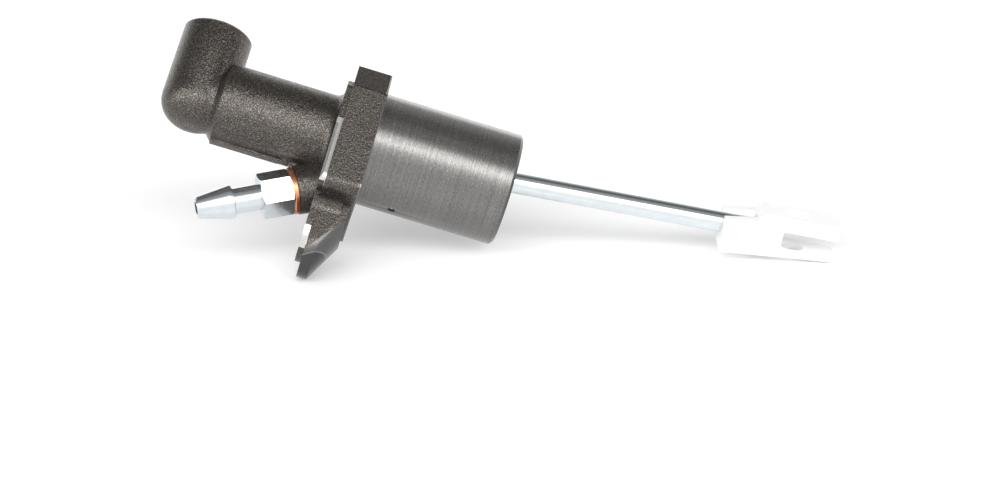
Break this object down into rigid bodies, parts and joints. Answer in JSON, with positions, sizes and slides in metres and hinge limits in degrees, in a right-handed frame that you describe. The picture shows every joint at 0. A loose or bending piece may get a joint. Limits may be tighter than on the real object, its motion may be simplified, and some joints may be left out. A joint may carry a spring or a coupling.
{
  "type": "clutch master cylinder",
  "caption": "Cast clutch master cylinder with a flange and foot, plain spigot, elbow outlet, hose nipple and a swivelling pushrod with a plastic clevis.",
  "frame": {"origin": "centre of the flange's front face, on the axis of the bore", "axes": "+X out of the spigot towards the pushrod, +Z towards the elbow's open end"},
  "size_m": [0.2412, 0.0509, 0.0779],
  "materials": {
    "casting": "rough",
    "plated_steel": "satin",
    "spring_steel": "satin",
    "copper": "satin",
    "light_alloy": "satin",
    "rubber": "matte",
    "white_plastic": "satin"
  },
  "bodies": {
    "cylinder": {"cylinder_body": "casting", "hose_nipple": "plated_steel", "sealing_washer": "copper", "circlip": "spring_steel", "end_seat": "plated_steel", "return_spring": "spring_steel"},
    "plunger": {"piston": "light_alloy", "cup_shim": "spring_steel", "primary_cup": "rubber", "spring_seat": "plated_steel", "secondary_seal": "rubber"},
    "liner": {"ball_liner": "white_plastic"},
    "rod": {"pushrod": "plated_steel"},
    "fork": {"clevis": "white_plastic"}
  },
  "joints": [
    {"name": "piston_slide", "type": "slide", "parent": "cylinder", "child": "plunger", "axis": [-1, 0, 0], "range_m": [0, 0.025], "stiffness_N_per_m": 1200, "springref_m": -0.015, "deforming": ["return_spring"]},
    {"name": "rod_pitch", "type": "hinge", "parent": "plunger", "child": "liner", "pos_m": [0.02105, 0, 0], "axis": [0, -1, 0], "range_deg": [-10.15, 1.85]},
    {"name": "rod_yaw", "type": "hinge", "parent": "liner", "child": "rod", "pos_m": [0.02105, 0, 0], "axis": [-0.0724, 0, 0.9974], "range_deg": [-0.5, 12.5]},
    {"name": "clevis_turn", "type": "hinge", "parent": "rod", "child": "fork", "pos_m": [0.1252, -0.01098, 0.00756], "axis": [0.9919, -0.1045, 0.072], "continuous": true}
  ]
}
